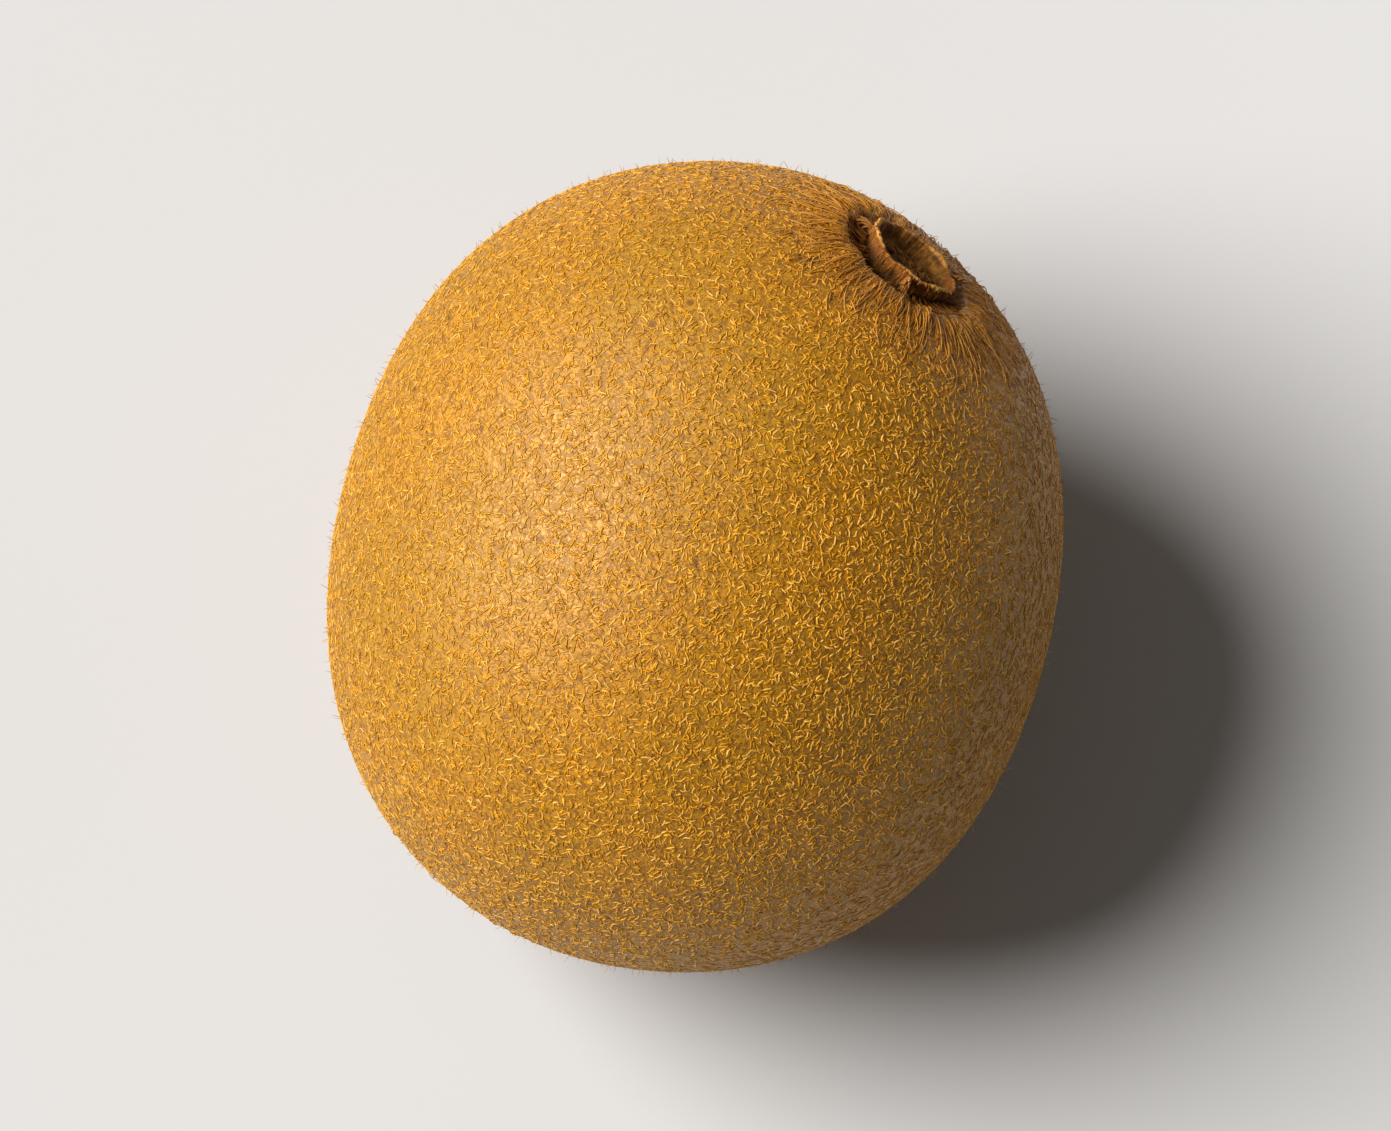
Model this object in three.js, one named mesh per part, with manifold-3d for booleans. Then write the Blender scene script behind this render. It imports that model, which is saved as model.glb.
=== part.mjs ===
// A golden kiwi fruit, lying on its side on a small flat spot.
// Millimetres, +Z up. The long axis runs along +X, towards the stalk end.
import * as THREE from "three";
import { mergeVertices } from "three/addons/utils/BufferGeometryUtils.js";
import Module from "manifold-3d";

const wasm = await Module();
wasm.setup();

// The berry: half its length, width and thickness, and how far its long axis leans up.
const LONG_SEMI = 30.2;
const WIDE_SEMI = 26.9;
const THICK_SEMI = 26.1;
const LONG_AXIS_LEAN_DEG = 11.6;

// Between its waist and its two ends the berry is fuller than an egg by this share.
const BARREL_SHARE = 0.012;

// Gentle swellings of the skin round its axis, each as a share of the radius.
const SWELLINGS = [
  { lobes: 2, share: 0.006, turn: 0.6 },
  { lobes: 3, share: 0.006, turn: 2.0 },
  { lobes: 5, share: 0.004, turn: 4.1 },
];

// Directions as a turn about +Z and a rise from the level, in degrees.
// The stalk grew out obliquely: its scar lies off the long axis, and faces its own way.
const SCAR_PLACE = { turn: -23.0, rise: 30.1 };
const SCAR_FACING = { turn: -29.8, rise: 30.3 };
const BLOSSOM_FACING = { turn: 151.0, rise: -32.5 };

// The spot that the fruit's own weight has flattened is cut this high above the lowest point.
const FLAT_SPOT_HEIGHT = 0.7;

// Rows and columns of the skin. Each end has fine rows of its own as far as END_ANGLE_DEG.
const SKIN_COLUMNS = 66;
const END_ROWS = 14;
const END_ANGLE_DEG = 16.5;
const MIDDLE_ROWS = 28;

// Each end is blunt, with a puckered shoulder round a pit that holds the dried piece.
// Depths are below the smooth end, and shiftX and shiftY move the pit's rim off the centre.
const STALK_END = {
  bluntDepth: 0.75,
  bluntShare: 0.75,
  bluntReach: 9.5,
  shoulderRise: 0.28,
  shoulderRadius: 6.2,
  shoulderWidth: 1.7,
  puckers: 11,
  puckerHeight: 0.11,
  pitDepth: 2.15,
  pitFootRadius: 4.3,
  pitTopRadius: 5.45,
  shiftX: 0.14,
  shiftY: 0.32,
};
const BLOSSOM_END = {
  bluntDepth: 0.7,
  bluntShare: 0.75,
  bluntReach: 9.0,
  shoulderRise: 0.25,
  shoulderRadius: 6.3,
  shoulderWidth: 1.8,
  puckers: 9,
  puckerHeight: 0.11,
  pitDepth: 1.5,
  pitFootRadius: 4.2,
  pitTopRadius: 5.3,
  shiftX: 0,
  shiftY: 0,
};
const GAP = 0.3;

// The woody ring where the stalk broke away: a thin-lipped cup with a sunken floor.
const RING_SEGMENTS = 64;
const RING_HEIGHT = 2.6;
const RING_FOOT_RADIUS = 3.3;
const RING_LIP_RADIUS = 3.72;
const RING_WALL = 0.5;
const RING_FLOOR_HEIGHT = 1.25;
const RING_OVAL = 0.03;
const RING_RIPPLE = 0.05;
const LIP_WAVE = 0.13;

// Broken bundle ends on the floor of the ring, and the pits between them.
const BUNDLE_COUNT = 6;
const BUNDLE_CIRCLE = 1.6;
const BUNDLE_RADIUS = 0.36;
const BUNDLE_HEIGHT = 0.7;
const BUNDLE_PIT_RADIUS = 0.3;
const BUNDLE_PIT_DEPTH = 0.5;

// Dried shreds that leave the foot of the ring, and ribs that leave its lip.
const SHRED_COUNT = 10;
const SHRED_ROOT_RADIUS = 0.22;
const SHRED_TIP_RADIUS = 0.1;
const RIB_COUNT = 3;
const RIB_ROOT_RADIUS = 0.3;
const RIB_TIP_RADIUS = 0.2;
const SKIN_CLEARANCE = 0.5;

// The dried styles at the blossom end: a corky button and the shrivelled styles on it.
const BUTTON_RADIUS = 3.75;
const BUTTON_HEIGHT = 1.5;
const BUTTON_SEGMENTS = 30;
const BUTTON_LUMP_HEIGHT = 0.2;
const OUTER_STYLES = 22;
const INNER_STYLES = 12;
const STYLE_ROOT_RADIUS = 0.38;
const STYLE_TIP_RADIUS = 0.15;

const SKIN_COLOUR = 0xb07a26;
const RING_COLOUR = 0x8a5527;
const STYLE_COLOUR = 0x54300f;

const radians = THREE.MathUtils.degToRad;
const smoothstep = THREE.MathUtils.smoothstep;
const mix = THREE.MathUtils.lerp;

// A repeatable draw between two numbers.
function drawFrom(seed) {
  let state = seed;
  return (low, high) => {
    state = (state * 16807) % 2147483647;
    return mix(low, high, state / 2147483647);
  };
}

function wayOf({ turn, rise }) {
  const level = Math.cos(radians(rise));
  return new THREE.Vector3(
    level * Math.cos(radians(turn)),
    level * Math.sin(radians(turn)),
    Math.sin(radians(rise)),
  );
}

// A level side way and the third way that go with an outward way.
function frameOf(out) {
  const side = new THREE.Vector3(0, 0, 1).cross(out).normalize();
  return { out, side, back: new THREE.Vector3().crossVectors(out, side) };
}

const longWay = wayOf({ turn: 0, rise: LONG_AXIS_LEAN_DEG });
const wideWay = new THREE.Vector3(0, 1, 0);
const thickWay = new THREE.Vector3().crossVectors(longWay, wideWay);
const axis = frameOf(wayOf(SCAR_PLACE));

// How far the smooth berry reaches from its centre along a unit vector.
function berryReach(way) {
  const theta = way.angleTo(axis.out);
  const phi = Math.atan2(way.dot(axis.back), way.dot(axis.side));
  let share = 1 - BARREL_SHARE * Math.cos(4 * way.angleTo(longWay));
  for (const { lobes, share: size, turn } of SWELLINGS)
    share += size * Math.sin(theta) ** lobes * Math.cos(lobes * phi + turn);
  const x = way.dot(longWay) / LONG_SEMI;
  const y = way.dot(wideWay) / WIDE_SEMI;
  const z = way.dot(thickWay) / THICK_SEMI;
  return share / Math.hypot(x, y, z);
}

// An end's form with its own frame, whose origin is on the smooth berry.
function endAt(form, place, out) {
  const foot = place.clone().multiplyScalar(berryReach(place));
  return { ...form, ...frameOf(out), foot };
}

const stalkEnd = endAt(STALK_END, axis.out, wayOf(SCAR_FACING));
const blossomEnd = endAt(
  BLOSSOM_END,
  axis.out.clone().negate(),
  wayOf(BLOSSOM_FACING),
);

function puckerAt(end, phi) {
  const bend = 0.9 * Math.sin(2 * phi + 1);
  const fine = Math.cos((end.puckers + 6) * phi + 2 * bend);
  return end.puckerHeight * (Math.cos(end.puckers * phi + bend) + 0.5 * fine);
}

// The skin's height in an end's frame, once the end is blunted, puckered and pitted.
function endHeight(end, x, y, height) {
  const radius = Math.hypot(x, y);
  const fromPit = Math.hypot(x - end.shiftX, y - end.shiftY);
  const blunt = end.bluntShare * Math.exp(-((radius / end.bluntReach) ** 2));
  const off = (radius - end.shoulderRadius) / end.shoulderWidth;
  const shoulder = Math.exp(-(off ** 2));
  const pit = 1 - smoothstep(fromPit, end.pitFootRadius, end.pitTopRadius);
  let level = mix(height, -end.bluntDepth, blunt);
  level += shoulder * (end.shoulderRise + puckerAt(end, Math.atan2(y, x)));
  return mix(level, -end.pitDepth, pit);
}

// The skin's point at an angle theta from the stalk end and phi round the axis.
function skinPoint(theta, phi) {
  const way = axis.out
    .clone()
    .multiplyScalar(Math.cos(theta))
    .addScaledVector(axis.side, Math.sin(theta) * Math.cos(phi))
    .addScaledVector(axis.back, Math.sin(theta) * Math.sin(phi));
  const point = way.clone().multiplyScalar(berryReach(way));
  const end = theta < Math.PI / 2 ? stalkEnd : blossomEnd;
  const offset = point.clone().sub(end.foot);
  const height = offset.dot(end.out);
  const x = offset.dot(end.side);
  const y = offset.dot(end.back);
  return point.addScaledVector(end.out, endHeight(end, x, y, height) - height);
}

// The skin's height above the seat of an end's dried piece, found by halving.
function skinAboveSeat(end, radius, phi) {
  const x = radius * Math.cos(phi);
  const y = radius * Math.sin(phi);
  let low = -9;
  let high = 3;
  for (let step = 0; step < 24; step++) {
    const height = (low + high) / 2;
    const point = end.foot
      .clone()
      .addScaledVector(end.side, x)
      .addScaledVector(end.back, y)
      .addScaledVector(end.out, height);
    const reach = berryReach(point.clone().normalize());
    if (point.length() < reach) low = height;
    else high = height;
  }
  return endHeight(end, x, y, low) + end.pitDepth;
}

// The angles of the rows from the stalk end, without the two poles.
function rowAngles() {
  const endAngle = radians(END_ANGLE_DEG);
  const angles = [];
  for (let row = 1; row <= END_ROWS; row++)
    angles.push((endAngle * row) / END_ROWS);
  for (let row = 1; row < MIDDLE_ROWS; row++)
    angles.push(mix(endAngle, Math.PI - endAngle, row / MIDDLE_ROWS));
  for (let row = END_ROWS; row >= 1; row--)
    angles.push(Math.PI - (endAngle * row) / END_ROWS);
  return angles;
}

function skinGeometry() {
  const angles = rowAngles();
  const points = [skinPoint(0, 0)];
  for (const theta of angles)
    for (let column = 0; column < SKIN_COLUMNS; column++)
      points.push(skinPoint(theta, (2 * Math.PI * column) / SKIN_COLUMNS));
  points.push(skinPoint(Math.PI, 0));
  const last = points.length - 1;
  const rows = angles.length;
  const at = (row, column) => 1 + row * SKIN_COLUMNS + (column % SKIN_COLUMNS);
  const faces = [];
  for (let column = 0; column < SKIN_COLUMNS; column++) {
    faces.push(0, at(0, column), at(0, column + 1));
    for (let row = 0; row < rows - 1; row++) {
      const [a, b] = [at(row, column), at(row, column + 1)];
      const [c, d] = [at(row + 1, column), at(row + 1, column + 1)];
      faces.push(a, c, d, a, d, b);
    }
    faces.push(at(rows - 1, column), last, at(rows - 1, column + 1));
  }
  return new THREE.BufferGeometry().setFromPoints(points).setIndex(faces);
}

// A closed geometry as a solid that can be joined and cut.
function solidOf(geometry) {
  const bare = new THREE.BufferGeometry();
  bare.setAttribute("position", geometry.getAttribute("position"));
  bare.setIndex(geometry.index);
  const merged = mergeVertices(bare, 1e-4);
  return new wasm.Manifold(
    new wasm.Mesh({
      numProp: 3,
      vertProperties: new Float32Array(merged.attributes.position.array),
      triVerts: new Uint32Array(merged.index.array),
    }),
  );
}

function geometryOf(solid) {
  const mesh = solid.getMesh();
  const geometry = new THREE.BufferGeometry();
  const points = new THREE.BufferAttribute(mesh.vertProperties, mesh.numProp);
  geometry.setAttribute("position", points);
  geometry.setIndex(new THREE.BufferAttribute(mesh.triVerts, 1));
  geometry.computeVertexNormals();
  return geometry;
}

function joined(geometries) {
  return geometries.map(solidOf).reduce((whole, piece) => whole.add(piece));
}

// A tapered strand along a curve, made by bending a slim cone.
function strand(points, rootRadius, tipRadius, steps = 4, sides = 5) {
  const curve = new THREE.CatmullRomCurve3(points);
  const frames = curve.computeFrenetFrames(steps, false);
  const geometry = new THREE.CylinderGeometry(
    tipRadius,
    rootRadius,
    1,
    sides,
    steps,
  );
  const place = geometry.getAttribute("position");
  const local = new THREE.Vector3();
  for (let i = 0; i < place.count; i++) {
    local.fromBufferAttribute(place, i);
    const along = local.y + 0.5;
    const frame = Math.round(along * steps);
    const bent = curve
      .getPointAt(along)
      .addScaledVector(frames.normals[frame], local.x)
      .addScaledVector(frames.binormals[frame], -local.z);
    place.setXYZ(i, bent.x, bent.y, bent.z);
  }
  return geometry;
}

// A lathed form about +Z, reshaped point by point.
function turned(profile, segments, reshape) {
  const outline = profile.map(([radius, height]) =>
    new THREE.Vector2(radius, height),
  );
  const geometry = new THREE.LatheGeometry(outline, segments);
  geometry.rotateX(Math.PI / 2);
  const place = geometry.getAttribute("position");
  for (let i = 0; i < place.count; i++) {
    const x = place.getX(i);
    const y = place.getY(i);
    const from = Math.hypot(x, y);
    const [radius, height] = reshape(from, place.getZ(i), Math.atan2(y, x));
    const scale = from > 0 ? radius / from : 0;
    place.setXYZ(i, x * scale, y * scale, height);
  }
  return geometry;
}

const polar = (radius, phi, height) =>
  new THREE.Vector3(radius * Math.cos(phi), radius * Math.sin(phi), height);

function ringCup() {
  const lip = RING_LIP_RADIUS;
  const inner = lip - RING_WALL;
  const profile = [
    [0, GAP],
    [RING_FOOT_RADIUS, GAP],
    [RING_FOOT_RADIUS + 0.05, RING_HEIGHT * 0.45],
    [lip - 0.1, RING_HEIGHT * 0.85],
    [lip, RING_HEIGHT * 0.96],
    [lip - 0.15, RING_HEIGHT],
    [lip - 0.32, RING_HEIGHT * 0.96],
    [inner, RING_HEIGHT * 0.8],
    [inner - 0.15, RING_FLOOR_HEIGHT + 0.3],
    [inner - 0.7, RING_FLOOR_HEIGHT],
    [0, RING_FLOOR_HEIGHT - 0.15],
  ];
  const reshape = (radius, height, phi) => {
    const edge = smoothstep(radius, 1, RING_FOOT_RADIUS);
    const up = smoothstep(height, RING_FLOOR_HEIGHT, RING_HEIGHT) * edge;
    const wave = Math.sin(3 * phi + 0.4) + 0.7 * Math.sin(7 * phi + 1.9);
    const ripple =
      Math.cos(5 * phi + 1) +
      0.7 * Math.cos(11 * phi + 2.3) +
      0.6 * Math.cos(17 * phi);
    return [
      radius * (1 + RING_OVAL * Math.cos(2 * phi)) + RING_RIPPLE * ripple * edge,
      height + LIP_WAVE * wave * up,
    ];
  };
  return turned(profile, RING_SEGMENTS, reshape);
}

function bundleEnds() {
  const draw = drawFrom(11);
  const ends = [];
  for (let i = 0; i < BUNDLE_COUNT; i++) {
    const phi = (2 * Math.PI * (i + draw(0, 0.3))) / BUNDLE_COUNT;
    const out = BUNDLE_CIRCLE * draw(0.85, 1.15);
    const top = RING_FLOOR_HEIGHT + BUNDLE_HEIGHT * draw(0.5, 1.2);
    const course = [
      polar(out, phi, RING_FLOOR_HEIGHT - 0.5),
      polar(out, phi + 0.1, mix(RING_FLOOR_HEIGHT, top, 0.5)),
      polar(out * 0.85, phi + 0.3, top),
    ];
    ends.push(strand(course, BUNDLE_RADIUS, BUNDLE_RADIUS * 0.5, 3, 6));
  }
  return ends;
}

function bundlePits() {
  const draw = drawFrom(17);
  const pits = [];
  for (let i = 0; i < BUNDLE_COUNT; i++) {
    const phi = (2 * Math.PI * (i + draw(0.5, 0.7))) / BUNDLE_COUNT;
    const out = i % 2 === 0 ? draw(0.6, 0.8) : draw(1.8, 2.1);
    const course = [
      polar(out, phi, RING_FLOOR_HEIGHT - BUNDLE_PIT_DEPTH),
      polar(out, phi + 0.02, RING_FLOOR_HEIGHT),
      polar(out, phi, RING_FLOOR_HEIGHT + 0.4),
    ];
    pits.push(strand(course, BUNDLE_PIT_RADIUS * 0.6, BUNDLE_PIT_RADIUS, 2, 6));
  }
  return pits;
}

// Shreds arch from the foot of the ring over the pit, clear of the skin.
function shreds() {
  const draw = drawFrom(29);
  const made = [];
  for (let i = 0; i < SHRED_COUNT; i++) {
    const phi = (2 * Math.PI * (i + draw(0, 0.7))) / SHRED_COUNT;
    const bend = draw(-0.22, 0.22);
    const reach = draw(4.3, 5.4);
    const clear = skinAboveSeat(stalkEnd, reach, phi + bend) + SKIN_CLEARANCE;
    const start = draw(0.75, 1.1);
    const course = [
      polar(2.7, phi, start),
      polar(mix(3.6, reach, 0.35), phi - bend, mix(start, clear, 0.75)),
      polar(reach, phi + bend, clear),
    ];
    made.push(strand(course, SHRED_ROOT_RADIUS, SHRED_TIP_RADIUS));
  }
  return made;
}

// Ribs lean from the lip of the ring to the shoulder, like struts.
function ribs() {
  const draw = drawFrom(83);
  const made = [];
  for (let i = 0; i < RIB_COUNT; i++) {
    const phi = (2 * Math.PI * (i + draw(0.9, 1.05))) / RIB_COUNT;
    const reach = draw(4.9, 5.4);
    const clear = skinAboveSeat(stalkEnd, reach, phi) + SKIN_CLEARANCE + 0.1;
    const course = [
      polar(3.45, phi, RING_HEIGHT * 0.55),
      polar(4.1, phi + 0.03, RING_HEIGHT * 0.8),
      polar(reach, phi + draw(-0.1, 0.1), clear),
    ];
    made.push(strand(course, RIB_ROOT_RADIUS, RIB_TIP_RADIUS));
  }
  return made;
}

function stalkRing() {
  const body = joined([ringCup(), ...bundleEnds(), ...shreds(), ...ribs()]);
  return geometryOf(body.subtract(joined(bundlePits())));
}

function corkyButton() {
  const profile = [
    [0, GAP],
    [BUTTON_RADIUS * 0.92, GAP],
    [BUTTON_RADIUS, GAP + 0.35],
    [BUTTON_RADIUS * 0.86, BUTTON_HEIGHT * 0.85],
    [BUTTON_RADIUS * 0.6, BUTTON_HEIGHT],
    [BUTTON_RADIUS * 0.3, BUTTON_HEIGHT * 0.92],
    [0, BUTTON_HEIGHT * 0.8],
  ];
  const reshape = (radius, height, phi) => {
    const top = smoothstep(height, GAP, BUTTON_HEIGHT);
    const off = Math.min(1, radius / (BUTTON_RADIUS * 0.3));
    const lump = Math.sin(4 * phi + radius * 1.7) + Math.sin(7 * phi - radius);
    return [
      radius * (1 + 0.04 * Math.cos(3 * phi + 1)),
      height + BUTTON_LUMP_HEIGHT * 0.5 * lump * top * off,
    ];
  };
  return turned(profile, BUTTON_SEGMENTS, reshape);
}

// Outer styles lean out over the rim of the pit, and their tips curl up.
function outerStyles() {
  const draw = drawFrom(47);
  const made = [];
  for (let i = 0; i < OUTER_STYLES; i++) {
    const phi = (2 * Math.PI * (i + draw(0, 0.8))) / OUTER_STYLES;
    const bend = draw(-0.35, 0.35);
    const reach = draw(3.9, 5.1);
    const skin = skinAboveSeat(blossomEnd, reach, phi + bend);
    const course = [
      polar(draw(2.1, 3.0), phi, BUTTON_HEIGHT * 0.45),
      polar(reach * 0.8, phi - bend * 0.4, Math.max(skin, 1.2) + 0.65),
      polar(reach, phi + bend, skin + draw(0.6, 1.5)),
    ];
    made.push(strand(course, STYLE_ROOT_RADIUS, STYLE_TIP_RADIUS));
  }
  return made;
}

// Inner styles stand in a short bent tuft.
function innerStyles() {
  const draw = drawFrom(61);
  const made = [];
  for (let i = 0; i < INNER_STYLES; i++) {
    const phi = (2 * Math.PI * (i + draw(0, 0.9))) / INNER_STYLES;
    const root = draw(0.4, 2.0);
    const top = BUTTON_HEIGHT + draw(0.3, 0.9);
    const course = [
      polar(root, phi, BUTTON_HEIGHT * 0.45),
      polar(root + draw(0.1, 0.5), phi + 0.2, top),
      polar(root + draw(0.5, 1.4), phi + draw(-0.8, 0.8), top - draw(0, 0.3)),
    ];
    made.push(strand(course, STYLE_ROOT_RADIUS, STYLE_TIP_RADIUS));
  }
  return made;
}

function driedStyles() {
  return geometryOf(joined([corkyButton(), ...outerStyles(), ...innerStyles()]));
}

// The skin with the flattened spot cut off underneath.
function berry() {
  const skin = skinGeometry();
  skin.computeBoundingBox();
  const cutLevel = skin.boundingBox.min.z + FLAT_SPOT_HEIGHT;
  const slab = new THREE.BoxGeometry(60, 60, 20);
  slab.translate(0, 0, cutLevel - 10);
  return geometryOf(solidOf(skin).subtract(solidOf(slab)));
}

function named(name, geometry, color, roughness) {
  const look = { color, roughness, metalness: 0 };
  const mesh = new THREE.Mesh(geometry, new THREE.MeshStandardMaterial(look));
  mesh.name = name;
  return mesh;
}

// Puts a piece that was modelled upright on its seat in an end's pit.
function seated(mesh, end) {
  const turnTo = new THREE.Matrix4().makeBasis(end.side, end.back, end.out);
  mesh.setRotationFromMatrix(turnTo);
  mesh.position.copy(end.foot).addScaledVector(end.out, -end.pitDepth);
  return mesh;
}

const fruit = new THREE.Group();
const ring = named("stalk_ring", stalkRing(), RING_COLOUR, 0.9);
const styles = named("dried_styles", driedStyles(), STYLE_COLOUR, 0.95);
fruit.add(named("berry", berry(), SKIN_COLOUR, 0.75));
fruit.add(seated(ring, stalkEnd));
fruit.add(seated(styles, blossomEnd));

// The origin is under the middle of the whole fruit, on the surface that it lies on.
const box = new THREE.Box3().setFromObject(fruit);
const middle = box.getCenter(new THREE.Vector3());
fruit.position.set(-middle.x, -middle.y, -box.min.z);

export default fruit;
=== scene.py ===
"""A golden kiwi fruit on a pale floor, fitted to the CAD frame: skin, fuzz, hairs and dried ends."""

import math

import bpy
import numpy as np
from bpy.props import FloatProperty, FloatVectorProperty, IntProperty, PointerProperty
from bpy.types import Operator, Panel, PropertyGroup
from mathutils import Matrix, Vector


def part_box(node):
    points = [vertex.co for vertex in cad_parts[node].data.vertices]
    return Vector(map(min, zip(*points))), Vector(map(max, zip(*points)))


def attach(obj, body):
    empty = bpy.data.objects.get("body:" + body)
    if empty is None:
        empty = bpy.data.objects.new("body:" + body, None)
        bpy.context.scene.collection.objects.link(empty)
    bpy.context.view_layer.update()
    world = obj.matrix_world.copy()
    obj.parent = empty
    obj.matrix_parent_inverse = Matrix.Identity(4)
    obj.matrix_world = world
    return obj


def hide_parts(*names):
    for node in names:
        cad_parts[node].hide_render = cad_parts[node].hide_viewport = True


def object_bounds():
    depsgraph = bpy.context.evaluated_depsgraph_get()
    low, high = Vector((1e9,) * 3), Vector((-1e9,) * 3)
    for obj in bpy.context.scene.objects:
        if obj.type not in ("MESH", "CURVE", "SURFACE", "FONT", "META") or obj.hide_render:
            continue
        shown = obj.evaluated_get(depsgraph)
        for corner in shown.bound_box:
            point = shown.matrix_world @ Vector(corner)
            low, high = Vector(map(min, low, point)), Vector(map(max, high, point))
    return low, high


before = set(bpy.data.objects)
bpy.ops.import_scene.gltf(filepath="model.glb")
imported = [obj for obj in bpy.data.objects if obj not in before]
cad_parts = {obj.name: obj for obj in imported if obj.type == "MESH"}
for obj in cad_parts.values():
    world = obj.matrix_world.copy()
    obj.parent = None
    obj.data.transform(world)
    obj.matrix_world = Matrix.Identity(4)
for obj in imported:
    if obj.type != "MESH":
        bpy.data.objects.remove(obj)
CAD_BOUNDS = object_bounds()

bl_info = {
    "name": "Golden Kiwi Fruit",
    "version": (1, 0, 0),
    "blender": (4, 5, 0),
    "location": "View3D > Sidebar > Kiwi",
    "description": "Builds a fuzzy golden kiwi fruit and a plain studio stage",
    "category": "Add Mesh",
}

MM = 0.001

# The berry's form, in millimetres and degrees, as the solids have it.
LONG_SEMI = 30.2
WIDE_SEMI = 26.9
THICK_SEMI = 26.1
LONG_AXIS_LEAN_DEG = 11.6
BARREL_SHARE = 0.012
SWELLINGS = ((2, 0.006, 0.6), (3, 0.006, 2.0), (5, 0.004, 4.1))
SCAR_PLACE = (-23.0, 30.1)
SCAR_FACING = (-29.8, 30.3)
BLOSSOM_FACING = (151.0, -32.5)
GAP = 0.3

STALK_END = {
    "blunt_depth": 0.75,
    "blunt_share": 0.75,
    "blunt_reach": 9.5,
    "shoulder_rise": 0.28,
    "shoulder_radius": 6.2,
    "shoulder_width": 1.7,
    "puckers": 11,
    "pucker_height": 0.11,
    "pit_depth": 2.15,
    "pit_foot": 4.3,
    "pit_top": 5.45,
    "shift": (0.14, 0.32),
}
BLOSSOM_END = {
    "blunt_depth": 0.7,
    "blunt_share": 0.75,
    "blunt_reach": 9.0,
    "shoulder_rise": 0.25,
    "shoulder_radius": 6.3,
    "shoulder_width": 1.8,
    "puckers": 9,
    "pucker_height": 0.11,
    "pit_depth": 1.5,
    "pit_foot": 4.2,
    "pit_top": 5.3,
    "shift": (0.0, 0.0),
}

# The stalk ring, its shreds and its ribs.
RING_HEIGHT = 2.6
RING_FOOT_RADIUS = 3.3
RING_LIP_RADIUS = 3.72
RING_WALL = 0.5
RING_FLOOR_HEIGHT = 1.25
RING_OVAL = 0.03
RING_RIPPLE = 0.05
LIP_WAVE = 0.13
LIP_FRAY = 0.05
RIDGE_HEIGHT = 0.035
FLOOR_GRIT = 0.07
BUNDLE_COUNT = 6
BUNDLE_CIRCLE = 1.6
BUNDLE_RADIUS = 0.36
BUNDLE_HEIGHT = 0.7
SHRED_COUNT = 10
SHRED_RADII = (0.22, 0.1)
RIB_COUNT = 3
RIB_RADII = (0.3, 0.2)
SKIN_CLEARANCE = 0.5

# Where the fibres in the hollow round the ring are thickest, in radians round it.
MOAT_TUFTS = (0.1, 2.7)

# The button and the styles at the blossom end.
BUTTON_RADIUS = 3.75
BUTTON_HEIGHT = 1.5
BUTTON_LUMP_HEIGHT = 0.2
OUTER_STYLES = 22
INNER_STYLES = 12
STYLE_RADII = (0.38, 0.15)
CORE_RADII = tuple(0.6 * radius for radius in STYLE_RADII)
BUTTON_CRUMB_HEIGHT = 0.09

# How strongly the skin's rows bunch up towards the two ends.
END_BUNCHING = 0.55

# Each tint of fuzz: its share of the set count, its hairs' length beside the set one, and the two
# colours that they lie between.
FUZZ_TINTS = {
    "kiwi_fuzz_light": (0.95, 1.1, (0.77, 0.375, 0.045), (0.88, 0.49, 0.095)),
    "kiwi_fuzz_pale": (1.0, 1.0, (0.69, 0.310, 0.015), (0.79, 0.375, 0.030)),
    "kiwi_fuzz_golden": (1.0, 1.0, (0.61, 0.258, 0.006), (0.70, 0.31, 0.011)),
    "kiwi_fuzz_brown": (0.75, 0.9, (0.48, 0.195, 0.003), (0.60, 0.255, 0.005)),
}

# The gloss of skin and hairs is a warm yellow.
WARM_SHEEN = (1.0, 0.82, 0.58, 1.0)

# Hairs start this far from the middle of the stalk end's pit, of the blossom end's, and above the floor.
FUZZ_LIMITS = (5.45, 5.2, 0.45)
STRAY_LIMITS = (5.6, 5.4, 1.2)
FUZZ_FLATNESS = 0.35

# The camera stands where the photograph was taken from.
CAMERA_TURN_DEG = -74.2
CAMERA_RISE_DEG = 78.0
CAMERA_DISTANCE = 0.9
FRAME_WIDTH = 0.1027
SENSOR_WIDTH = 36.0

# The way to the main light, by the camera's right, up and back.
KEY_WAY = (-0.70, 0.31, 0.66)
KEY_DISTANCE = 0.7
FLOOR_RINGS = (0.02, 0.1, 0.4, 1.0)
FLOOR_SEGMENTS = 96


def unit(v):
    v = np.asarray(v, float)
    return v / np.linalg.norm(v, axis=-1, keepdims=True)


def way_of(turn, rise):
    turn, rise = math.radians(turn), math.radians(rise)
    level = math.cos(rise)
    return np.array([level * math.cos(turn), level * math.sin(turn), math.sin(rise)])


class Axes:
    """An outward way with a level side way and the third way."""

    def __init__(self, out):
        self.out = unit(out)
        self.side = unit(np.cross((0.0, 0.0, 1.0), self.out))
        self.back = np.cross(self.out, self.side)


LONG_WAY = way_of(0.0, LONG_AXIS_LEAN_DEG)
WIDE_WAY = np.array([0.0, 1.0, 0.0])
THICK_WAY = np.cross(LONG_WAY, WIDE_WAY)
AXIS = Axes(way_of(*SCAR_PLACE))


def berry_reach(way):
    """How far the smooth berry reaches from its centre along unit vectors."""
    theta = np.arccos(np.clip(way @ AXIS.out, -1, 1))
    phi = np.arctan2(way @ AXIS.back, way @ AXIS.side)
    from_long = np.arccos(np.clip(way @ LONG_WAY, -1, 1))
    share = 1 - BARREL_SHARE * np.cos(4 * from_long)
    for lobes, size, turn in SWELLINGS:
        share = share + size * np.sin(theta) ** lobes * np.cos(lobes * phi + turn)
    x, y, z = way @ LONG_WAY, way @ WIDE_WAY, way @ THICK_WAY
    return share / np.sqrt(
        (x / LONG_SEMI) ** 2 + (y / WIDE_SEMI) ** 2 + (z / THICK_SEMI) ** 2
    )


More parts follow.
